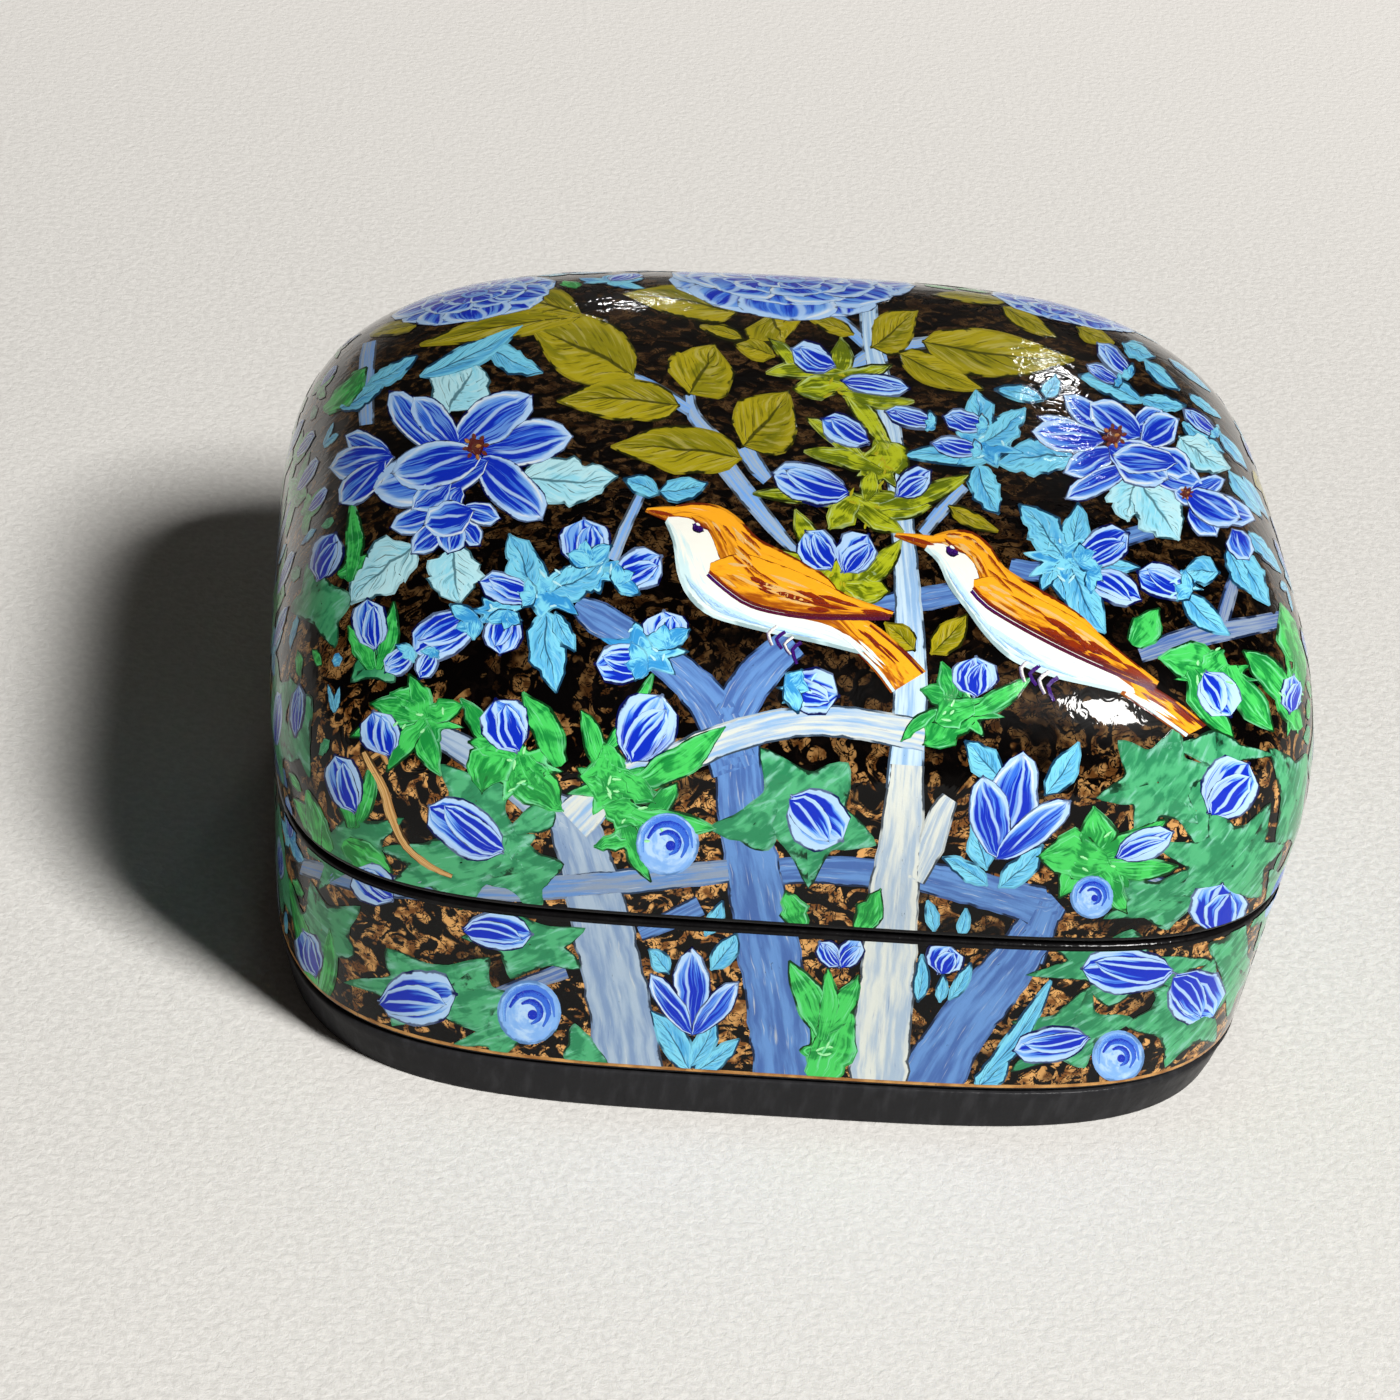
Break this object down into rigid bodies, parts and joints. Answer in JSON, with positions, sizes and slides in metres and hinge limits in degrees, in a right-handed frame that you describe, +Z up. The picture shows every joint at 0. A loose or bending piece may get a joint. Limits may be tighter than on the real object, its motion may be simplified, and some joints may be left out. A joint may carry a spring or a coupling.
{
  "type": "papier mache box",
  "caption": "Small squarish-oval papier mache box with a lift-off domed lid, a glued-in collar that guides the lid, and a plain foot board.",
  "frame": {"origin": "middle of the underside, on the table", "axes": "+X along the longer side, to the right seen from the front; -Y is the front; +Z up, the way the lid lifts"},
  "size_m": [0.1, 0.09, 0.0547],
  "materials": {
    "lid_lacquer": "gloss lacquer over painted papier mache",
    "base_lacquer": "gloss lacquer over painted papier mache",
    "collar_paint": "satin black lacquer",
    "foot_paint": "satin black paint"
  },
  "bodies": {
    "base": {"base_shell": "base_lacquer", "foot_board": "foot_paint", "lid_collar": "collar_paint"},
    "lid": {"lid_shell": "lid_lacquer"}
  },
  "joints": [
    {"name": "lid_lift", "type": "slide", "parent": "base", "child": "lid", "axis": [0, 0, 1], "range_m": [0, 0.06]}
  ]
}
